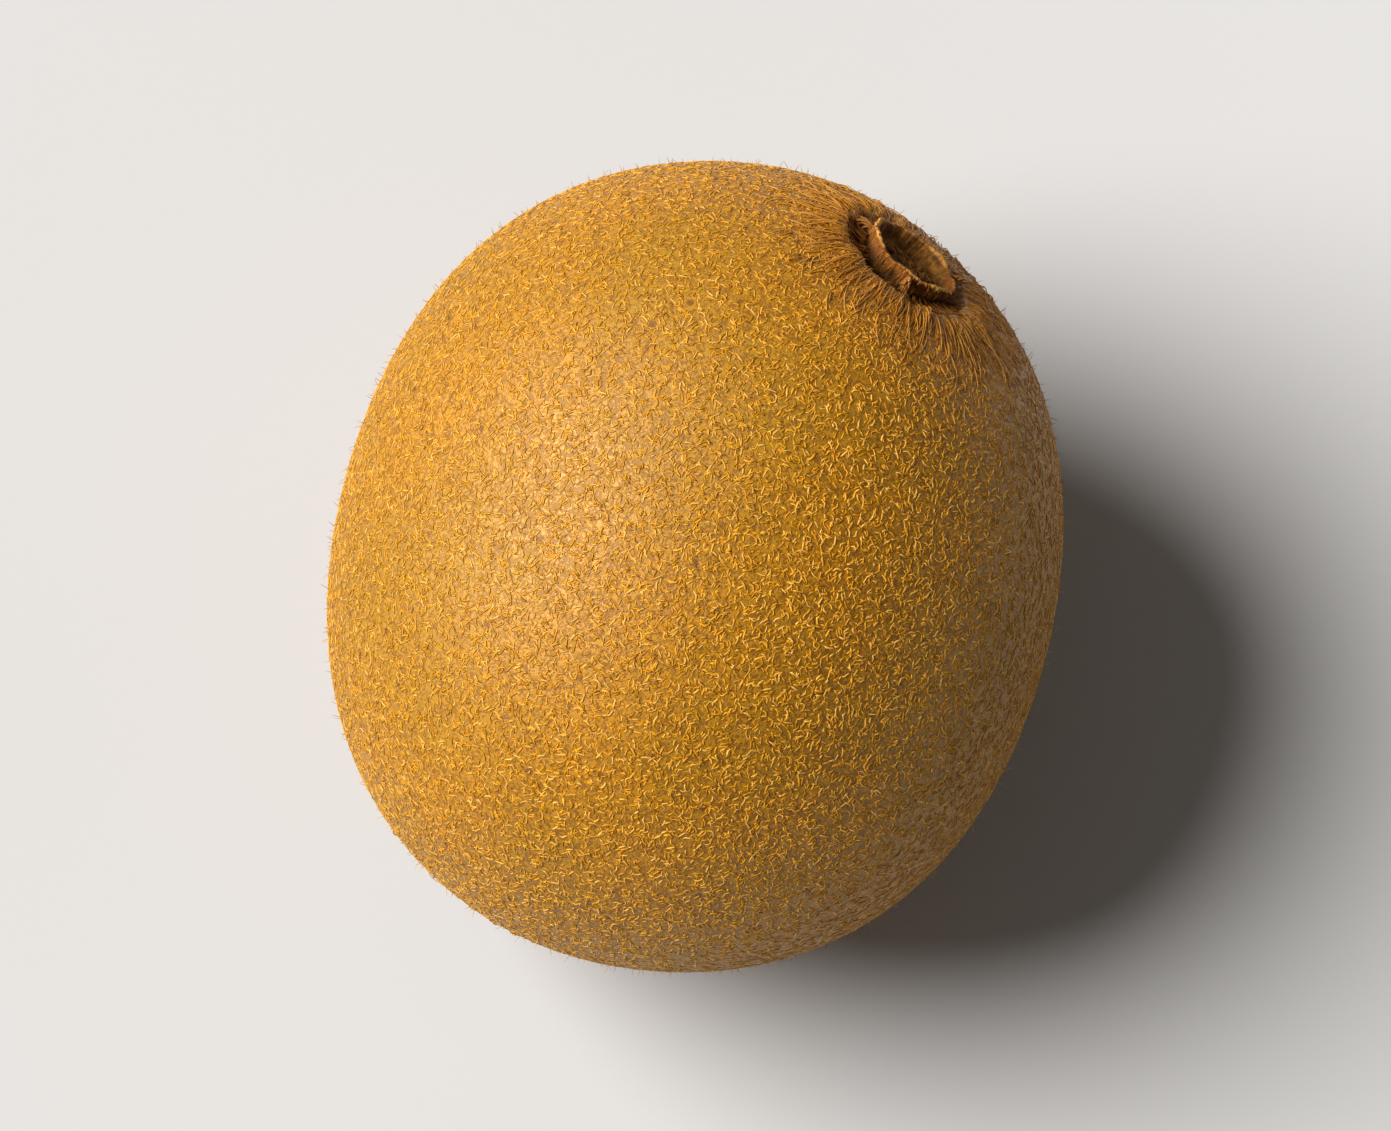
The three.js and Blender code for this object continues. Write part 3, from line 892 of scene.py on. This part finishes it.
def button():
    """The low corky button, lumpy and crumbly on top."""
    control = [
        (0, GAP),
        (BUTTON_RADIUS * 0.92, GAP),
        (BUTTON_RADIUS, GAP + 0.35),
        (BUTTON_RADIUS * 0.86, BUTTON_HEIGHT * 0.85),
        (BUTTON_RADIUS * 0.6, BUTTON_HEIGHT),
        (BUTTON_RADIUS * 0.3, BUTTON_HEIGHT * 0.92),
        (0, BUTTON_HEIGHT * 0.8),
    ]
    flat = [(r, h, 0.0) for r, h in control[1:]]
    curve = smooth_path(flat, 40)[:-1, :2]
    profile = [control[0], *map(tuple, curve), control[-1]]

    def reshape(radius, height, phi):
        top = smoothstep(height, GAP, BUTTON_HEIGHT)
        off = np.minimum(1, radius / (BUTTON_RADIUS * 0.3))
        lump = np.sin(4 * phi + radius * 1.7) + np.sin(7 * phi - radius)
        crumb = np.sin(19 * phi + 4 * radius) * np.sin(6.5 * radius + 3 * phi)
        rough = BUTTON_LUMP_HEIGHT * 0.5 * lump + BUTTON_CRUMB_HEIGHT * crumb
        height = height + rough * top * off
        return radius * (1 + 0.04 * np.cos(3 * phi + 1)), height

    return lathe(profile, 200, reshape)


def outer_style_courses():
    draw = Draw(47)
    courses = []
    for i in range(OUTER_STYLES):
        phi = 2 * math.pi * (i + draw(0, 0.8)) / OUTER_STYLES
        bend = draw(-0.35, 0.35)
        reach = draw(3.9, 5.1)
        skin = BLOSSOM.above_seat(reach, phi + bend)
        courses.append(
            [
                polar(draw(2.1, 3.0), phi, BUTTON_HEIGHT * 0.45),
                polar(reach * 0.8, phi - bend * 0.4, max(skin, 1.2) + 0.65),
                polar(reach, phi + bend, skin + draw(0.6, 1.5)),
            ]
        )
    return courses


def inner_style_courses():
    draw = Draw(61)
    courses = []
    for i in range(INNER_STYLES):
        phi = 2 * math.pi * (i + draw(0, 0.9)) / INNER_STYLES
        root = draw(0.4, 2.0)
        top = BUTTON_HEIGHT + draw(0.3, 0.9)
        courses.append(
            [
                polar(root, phi, BUTTON_HEIGHT * 0.45),
                polar(root + draw(0.1, 0.5), phi + 0.2, top),
                polar(root + draw(0.5, 1.4), phi + draw(-0.8, 0.8), top - draw(0, 0.3)),
            ]
        )
    return courses


def scattered_ways(count, rng):
    """Unit vectors spread evenly over a sphere that is turned at random, and then jittered."""
    i = np.arange(count) + 0.5
    z = 1 - 2 * i / count
    turn = i * math.pi * (3 - math.sqrt(5))
    level = np.sqrt(1 - z * z)
    way = np.stack([level * np.cos(turn), level * np.sin(turn), z], 1)
    spacing = math.sqrt(4 * math.pi / count)
    turned, _ = np.linalg.qr(rng.normal(0, 1, (3, 3)))
    return unit(way @ turned + rng.normal(0, 0.45 * spacing, way.shape))


def tangents(way, normal, angle):
    """A tangent way at an angle and the one across it, for each point."""
    helper = np.where(np.abs(normal[:, 2:3]) < 0.9, (0.0, 0.0, 1.0), (1.0, 0.0, 0.0))
    a = unit(np.cross(helper, normal))
    b = np.cross(normal, a)
    along = np.cos(angle)[:, None] * a + np.sin(angle)[:, None] * b
    return along, np.cross(normal, along)


def combed_angle(base, normal, rng):
    """Random directions that turn radial close to the stalk end."""
    angle = rng.uniform(0, 2 * np.pi, len(base))
    along, across = tangents(base, normal, np.zeros(len(base)))
    radial = base - STALK.foot
    near = np.exp(-((np.maximum(np.linalg.norm(radial, axis=1) - 5.5, 0) / 3.5) ** 2))
    combed = np.arctan2((radial * across).sum(1), (radial * along).sum(1))
    combed = combed + rng.normal(0, 0.35, len(base))
    return np.where(rng.uniform(0, 1, len(base)) < near, combed, angle)


def lying_paths(base, normal, along, across, x, y, height):
    """Paths that follow the skin: x and y run over it, and height stands off it."""
    spread = base[:, None] + x[..., None] * along[:, None] + y[..., None] * across[:, None]
    ground = skin_points(unit(spread))
    return ground + height[..., None] * normal[:, None]


def end_radius(point, end):
    x, y, height = end.local(point)
    return np.where(np.abs(height) < 12, np.hypot(x, y), 99.0)


def clear_of(base, limits):
    """Which points lie outside both pits and above the flat spot."""
    stalk, blossom, height = limits
    outside = (end_radius(base, STALK) > stalk) & (end_radius(base, BLOSSOM) > blossom)
    return outside & (base[:, 2] + CENTRE[2] > height)


def fuzz_paths(count, length, rng):
    """Short bent hairs that lie matted on the skin, away from the pits and the flat spot."""
    way = scattered_ways(count, rng)
    base = skin_points(way)
    clear = clear_of(base, FUZZ_LIMITS)
    way, base = way[clear], base[clear]
    count = len(way)
    normal = skin_normals(way)
    along, across = tangents(way, normal, combed_angle(base, normal, rng))
    t = np.array([[-1.0, -0.4, 0.4, 1.0]])
    half = 0.5 * length * rng.uniform(0.5, 1.6, count)[:, None]
    bend = rng.normal(0, 0.6, count)[:, None]
    twist = rng.normal(0, 0.35, count)[:, None]
    x = half * t * (1 - 0.12 * bend**2 * t**2)
    y = half * (bend * (t**2 - 0.4) + twist * t**3)
    lift = rng.uniform(0.01, 0.06, count)[:, None]
    height = lift * (1 - t**2) - 0.005
    return lying_paths(base, normal, along, across, x, y, height), normal


class KiwiSkinSettings(PropertyGroup):
    """How finely the skin is meshed, and the colours of its ground."""

    rows: IntProperty(
        name="Rows",
        description="Rows from one end to the other",
        default=270,
        min=60,
        max=600,
    )
    columns: IntProperty(
        name="Columns",
        description="Columns round the axis",
        default=320,
        min=60,
        max=720,
    )
    light_ground: FloatVectorProperty(
        name="Light ground",
        description="Lighter colour of the skin under the fuzz",
        default=(0.50, 0.212, 0.002),
        subtype="COLOR",
        size=3,
        min=0,
        max=1,
    )
    dark_ground: FloatVectorProperty(
        name="Dark ground",
        description="Darker colour of the skin under the fuzz",
        default=(0.205, 0.076, 0.001),
        subtype="COLOR",
        size=3,
        min=0,
        max=1,
    )


class KiwiFuzzSettings(PropertyGroup):
    """The short matted fuzz and the longer hairs."""

    per_tint: IntProperty(
        name="Hairs per tint",
        description="Short hairs of a tint before its share is taken",
        default=16500,
        min=0,
        max=40000,
    )
    length: FloatProperty(
        name="Length",
        description="Middle length of a short hair",
        default=0.00066,
        min=0.0002,
        max=0.004,
        unit="LENGTH",
        subtype="DISTANCE",
        precision=5,
    )
    radius: FloatProperty(
        name="Radius",
        description="Radius of a short hair at its middle",
        default=0.000082,
        min=0.00001,
        max=0.0004,
        unit="LENGTH",
        subtype="DISTANCE",
        precision=6,
    )
    stray: IntProperty(
        name="Stray hairs",
        description="Upright stray hairs",
        default=3600,
        min=0,
        max=20000,
    )
    stalk: IntProperty(
        name="Stalk hairs",
        description="Long hairs round the stalk end",
        default=680,
        min=0,
        max=5000,
    )
    blossom: IntProperty(
        name="Blossom hairs",
        description="Hairs round the blossom end",
        default=380,
        min=0,
        max=5000,
    )
    seed: IntProperty(name="Seed", description="Seed of every draw", default=7, min=0)


class KiwiStageSettings(PropertyGroup):
    """The floor, the light and the world."""

    key_strength: FloatProperty(
        name="Key light",
        description="Strength of the main soft light, in watts a square metre",
        default=6.3,
        min=0,
    )
    key_angle: FloatProperty(
        name="Key size",
        description="How wide the main soft light looks from the fruit",
        default=math.radians(44),
        min=0,
        max=math.pi,
        unit="ROTATION",
        subtype="ANGLE",
    )
    key_colour: FloatVectorProperty(
        name="Key colour",
        description="Colour of the main soft light",
        default=(1.0, 0.975, 0.95),
        subtype="COLOR",
        size=3,
        min=0,
        max=1,
    )
    world_strength: FloatProperty(
        name="World",
        description="How much light the pale surroundings give",
        default=0.12,
        min=0,
    )
    backdrop_strength: FloatProperty(
        name="Backdrop",
        description="How bright the surroundings look behind the fruit",
        default=0.79,
        min=0,
    )
    floor_radius: FloatProperty(
        name="Floor radius",
        description="Radius of the floor",
        default=6.0,
        min=0.1,
        unit="LENGTH",
        subtype="DISTANCE",
    )
    floor_colour: FloatVectorProperty(
        name="Floor colour",
        description="Colour of the floor",
        default=(0.515, 0.515, 0.515),
        subtype="COLOR",
        size=3,
        min=0,
        max=1,
    )


class KIWI_OT_skin(Operator):
    """Build the fine skin in place of the CAD berry"""

    bl_idname = "kiwi.skin"
    bl_label = "Skin"

    def execute(self, context):
        settings = context.scene.kiwi_skin
        rows, columns = settings.rows, settings.columns
        share = np.linspace(0, 1, rows + 1)
        even = 2 * math.pi * share
        theta = (even - END_BUNCHING * np.sin(even)) / 2
        phi = 2 * np.pi * np.arange(columns) / columns
        grid_theta, grid_phi = np.meshgrid(theta[1:-1], phi, indexing="ij")
        points = skin_points(ways_from(grid_theta, grid_phi)).reshape(-1, 3)
        poles = skin_points(np.array([AXIS.out, -AXIS.out]))
        points = np.vstack([points, poles])
        points[:, 2] = np.maximum(points[:, 2], -CENTRE[2])
        faces = grid_faces(rows - 1, columns)
        total = (rows - 1) * columns
        c = np.arange(columns)
        after = (c + 1) % columns
        first = np.stack([np.full(columns, total), c, after], -1)
        start = total - columns
        last = np.stack([np.full(columns, total + 1), start + after, start + c], -1)
        faces = np.vstack([faces, first, last])
        material = skin_material(tuple(settings.light_ground), tuple(settings.dark_ground))
        skin = new_mesh_object("kiwi_skin", points, faces, material)
        dress(skin, "berry", "berry")
        return {"FINISHED"}


class KIWI_OT_stalk_ring(Operator):
    """Build the corky stalk ring with its shreds, ribs and fibres"""

    bl_idname = "kiwi.stalk_ring"
    bl_label = "Stalk Ring"

    def execute(self, context):
        parts = [
            ring_cup(),
            course_tubes(bundle_courses(), BUNDLE_RADIUS, BUNDLE_RADIUS * 0.5, 10, 9, 3),
        ]
        points, faces = merged(parts)
        ring = new_mesh_object("kiwi_stalk_ring", STALK.seated(points), faces, ring_material())
        dress(ring, "stalk_ring", "stalk_ring")
        loose = [
            frayed_tubes(shred_courses(), *SHRED_RADII, 7, 4),
            frayed_tubes(rib_courses(), *RIB_RADII, 9, 5),
            lip_fibres(120, 6),
            litter_fibres(240, 1.9, RING_FLOOR_HEIGHT - 0.06, 8),
        ]
        points, faces = merged(loose)
        material = dried_material("kiwi_ring_fibres", (0.12, 0.040, 0.005), (0.38, 0.155, 0.024), 1600)
        fibres = new_mesh_object("kiwi_ring_fibres", STALK.seated(points), faces, material)
        dress(fibres, "stalk_ring")
        points, faces = moat_fibres(420, 12)
        material = dried_material("kiwi_moat_fibres", (0.10, 0.034, 0.004), (0.34, 0.13, 0.018), 1600)
        fibres = new_mesh_object("kiwi_moat_fibres", STALK.seated(points), faces, material)
        dress(fibres, "stalk_ring")
        return {"FINISHED"}


class KIWI_OT_dried_styles(Operator):
    """Build the corky button and the dried styles"""

    bl_idname = "kiwi.dried_styles"
    bl_label = "Dried Styles"

    def execute(self, context):
        points, faces = merged(
            [
                button(),
                course_tubes(outer_style_courses(), *CORE_RADII, 14, 7, 9),
                course_tubes(inner_style_courses(), *CORE_RADII, 14, 7, 10),
                frayed_tubes(outer_style_courses(), *STYLE_RADII, 6, 13),
                frayed_tubes(inner_style_courses(), *STYLE_RADII, 6, 14),
                litter_fibres(260, 2.2, BUTTON_HEIGHT - 0.12, 15),
            ]
        )
        material = dried_material("kiwi_dried_styles", (0.045, 0.014, 0.005), (0.15, 0.050, 0.014), 1300)
        styles = new_mesh_object("kiwi_dried_styles", BLOSSOM.seated(points), faces, material)
        dress(styles, "dried_styles", "dried_styles")
        return {"FINISHED"}


class KIWI_OT_fuzz(Operator):
    """Build the short matted fuzz in four tints"""

    bl_idname = "kiwi.fuzz"
    bl_label = "Fuzz"

    def execute(self, context):
        settings = context.scene.kiwi_fuzz
        for number, (name, tint) in enumerate(FUZZ_TINTS.items()):
            share, stretch, dark, light = tint
            rng = np.random.default_rng(settings.seed + number)
            count = int(settings.per_tint * share)
            paths, normal = fuzz_paths(count, settings.length / MM * stretch, rng)
            radii = settings.radius / MM * rng.uniform(0.65, 1.3, (len(paths), 1)) * np.ones(4)
            points, faces = strands(paths, radii, 3, normal, FUZZ_FLATNESS)
            fuzz = new_mesh_object(name, points, faces, hair_material(name, dark, light))
            dress(fuzz, "berry")
        return {"FINISHED"}


class KIWI_OT_hairs(Operator):
    """Build the upright stray hairs and the long hairs round both ends"""

    bl_idname = "kiwi.hairs"
    bl_label = "Hairs"

    def execute(self, context):
        settings = context.scene.kiwi_fuzz
        rng = np.random.default_rng(settings.seed + 20)
        self.stray_hairs(settings.stray, rng)
        material = hair_material("kiwi_stalk_hairs", (0.40, 0.165, 0.018), (0.80, 0.45, 0.10))
        self.end_hairs("kiwi_stalk_hairs", STALK, settings.stalk, 1.0, material, rng)
        material = hair_material("kiwi_blossom_hairs", (0.24, 0.085, 0.010), (0.62, 0.30, 0.045))
        self.end_hairs("kiwi_blossom_hairs", BLOSSOM, settings.blossom, 0.55, material, rng)
        return {"FINISHED"}

    def stray_hairs(self, count, rng):
        """Short hairs that stand up and lean a little."""
        way = scattered_ways(count, rng)
        base = skin_points(way)
        clear = clear_of(base, STRAY_LIMITS)
        way, base = way[clear], base[clear]
        normal = skin_normals(way)
        along, across = tangents(way, normal, rng.uniform(0, 2 * np.pi, len(way)))
        t = np.linspace(0, 1, 5)[None]
        tall = rng.uniform(0.25, 0.75, len(way))[:, None]
        lean = rng.uniform(0.1, 0.9, len(way))[:, None]
        x = tall * lean * t**1.4
        y = tall * rng.normal(0, 0.2, len(way))[:, None] * t**2
        paths = lying_paths(base, normal, along, across, x, y, tall * t - 0.03)
        radii = np.array([0.03, 0.028, 0.024, 0.017, 0.005])[None] * np.ones((len(way), 1))
        points, faces = strands(paths, radii, 3)
        material = hair_material("kiwi_stray_hairs", (0.55, 0.28, 0.04), (0.86, 0.55, 0.16))
        dress(new_mesh_object("kiwi_stray_hairs", points, faces, material), "berry")

    def end_hairs(self, name, end, count, stretch, material, rng):
        """Hairs that radiate over the shoulder from the rim of an end's pit."""
        axes = end.axes
        phi = rng.uniform(0, 2 * np.pi, count)
        start = 5.4 + 6.5 * rng.uniform(0, 1, count) ** 1.8
        length = stretch * rng.uniform(1.2, 4.2, count) * (1.1 - 0.09 * (start - 5.4))
        t = np.linspace(0, 1, 7)[None]
        radius = start[:, None] + length[:, None] * t
        turn = phi[:, None] + swaying(count, 0.05, 0.05, t, rng)
        x, y = radius * np.cos(turn), radius * np.sin(turn)
        spread = end.foot + x[..., None] * axes.side + y[..., None] * axes.back
        way = unit(spread)
        ground = skin_points(way)
        normal = skin_normals(way)
        arch = np.sin(np.pi * np.clip(t * 1.05, 0, 1))
        lift = rng.uniform(0.06, 0.26, count)[:, None] * arch - 0.02
        paths = ground + lift[..., None] * normal
        taper = np.array([0.6, 1, 1, 0.95, 0.8, 0.6, 0.2])
        radii = rng.uniform(0.028, 0.055, (count, 1)) * taper
        points, faces = strands(paths, radii, 4)
        dress(new_mesh_object(name, points, faces, material), "berry")


class KIWI_OT_stage(Operator):
    """Build the floor, the light, the world and the camera"""

    bl_idname = "kiwi.stage"
    bl_label = "Stage"

    def execute(self, context):
        settings = context.scene.kiwi_stage
        self.floor(settings)
        right, up, back = self.camera_axes()
        middle = (np.array(CAD_BOUNDS[0]) + np.array(CAD_BOUNDS[1])) / 2
        self.camera(context, middle, right, up, back)
        key_way = unit(KEY_WAY[0] * right + KEY_WAY[1] * up + KEY_WAY[2] * back)
        self.key_light(middle, key_way, settings)
        self.world(context, settings)
        context.scene.view_settings.view_transform = "Standard"
        return {"FINISHED"}

    def floor(self, settings):
        c = np.arange(FLOOR_SEGMENTS)
        turn = 2 * np.pi * c / FLOOR_SEGMENTS
        circle = np.stack([np.cos(turn), np.sin(turn), 0 * turn], 1)
        rings = [settings.floor_radius * share * circle for share in FLOOR_RINGS]
        points = np.vstack([*rings, [[0, 0, 0]]]) / MM - CENTRE
        last = np.full(FLOOR_SEGMENTS, len(points) - 1)
        middle = np.stack([last, c, (c + 1) % FLOOR_SEGMENTS], -1)
        faces = np.vstack([grid_faces(len(rings), FLOOR_SEGMENTS), middle])
        material = floor_material(tuple(settings.floor_colour))
        new_mesh_object("studio_floor", points, faces, material)

    def camera_axes(self):
        """The camera's right, up and back."""
        turn = math.radians(CAMERA_TURN_DEG)
        back = way_of(CAMERA_TURN_DEG - 90, CAMERA_RISE_DEG)
        right = np.array([math.cos(turn), math.sin(turn), 0.0])
        return right, np.cross(back, right), back

    def place(self, obj, spot, right, up, back):
        matrix = np.eye(4)
        matrix[:3, 0], matrix[:3, 1], matrix[:3, 2], matrix[:3, 3] = right, up, back, spot
        obj.matrix_world = Matrix(matrix.tolist())
        bpy.context.scene.collection.objects.link(obj)

    def camera(self, context, middle, right, up, back):
        data = bpy.data.cameras.new("photo_camera")
        data.sensor_width = SENSOR_WIDTH
        data.lens = SENSOR_WIDTH * CAMERA_DISTANCE / FRAME_WIDTH
        data.clip_start = 0.01
        data.clip_end = 20.0
        camera = bpy.data.objects.new("photo_camera", data)
        self.place(camera, middle + CAMERA_DISTANCE * back, right, up, back)
        context.scene.camera = camera

    def key_light(self, middle, back, settings):
        data = bpy.data.lights.new("key_light", "SUN")
        data.energy = settings.key_strength
        data.angle = settings.key_angle
        data.color = tuple(settings.key_colour)
        right = unit(np.cross((0.0, 0.0, 1.0), back))
        light = bpy.data.objects.new("key_light", data)
        self.place(light, middle + KEY_DISTANCE * back, right, np.cross(back, right), back)

    def world(self, context, settings):
        """Surroundings that look paler behind the fruit than the light they give."""
        world = bpy.data.worlds.new("studio_world")
        world.use_nodes = True
        nodes, links = world.node_tree.nodes, world.node_tree.links
        shade = nodes["Background"]
        shade.inputs["Color"].default_value = (1.0, 0.98, 0.945, 1.0)
        path = nodes.new("ShaderNodeLightPath")
        strength = nodes.new("ShaderNodeMapRange")
        strength.inputs["To Min"].default_value = settings.world_strength
        strength.inputs["To Max"].default_value = settings.backdrop_strength
        links.new(path.outputs["Is Camera Ray"], strength.inputs["Value"])
        links.new(strength.outputs["Result"], shade.inputs["Strength"])
        context.scene.world = world


class KIWI_PT_panel(Panel):
    """Builds each piece of the kiwi and shows its settings"""

    bl_label = "Golden Kiwi Fruit"
    bl_idname = "KIWI_PT_panel"
    bl_space_type = "VIEW_3D"
    bl_region_type = "UI"
    bl_category = "Kiwi"

    def draw(self, context):
        scene = context.scene
        for settings in (scene.kiwi_skin, scene.kiwi_fuzz, scene.kiwi_stage):
            box = self.layout.box()
            for name in settings.bl_rna.properties.keys():
                if name not in {"rna_type", "name"}:
                    box.prop(settings, name)
        for operator in STEPS:
            self.layout.operator(operator.bl_idname)


SETTINGS = {
    "kiwi_skin": KiwiSkinSettings,
    "kiwi_fuzz": KiwiFuzzSettings,
    "kiwi_stage": KiwiStageSettings,
}
STEPS = (
    KIWI_OT_skin,
    KIWI_OT_stalk_ring,
    KIWI_OT_dried_styles,
    KIWI_OT_fuzz,
    KIWI_OT_hairs,
    KIWI_OT_stage,
)
CLASSES = (*SETTINGS.values(), *STEPS, KIWI_PT_panel)


def register():
    for cls in CLASSES:
        bpy.utils.register_class(cls)
    for name, cls in SETTINGS.items():
        setattr(bpy.types.Scene, name, PointerProperty(type=cls))


def unregister():
    for name in SETTINGS:
        delattr(bpy.types.Scene, name)
    for cls in reversed(CLASSES):
        bpy.utils.unregister_class(cls)


def main():
    register()
    bpy.ops.kiwi.skin()
    bpy.ops.kiwi.stalk_ring()
    bpy.ops.kiwi.dried_styles()
    bpy.ops.kiwi.fuzz()
    bpy.ops.kiwi.hairs()
    bpy.ops.kiwi.stage()


if __name__ == "__main__":
    main()
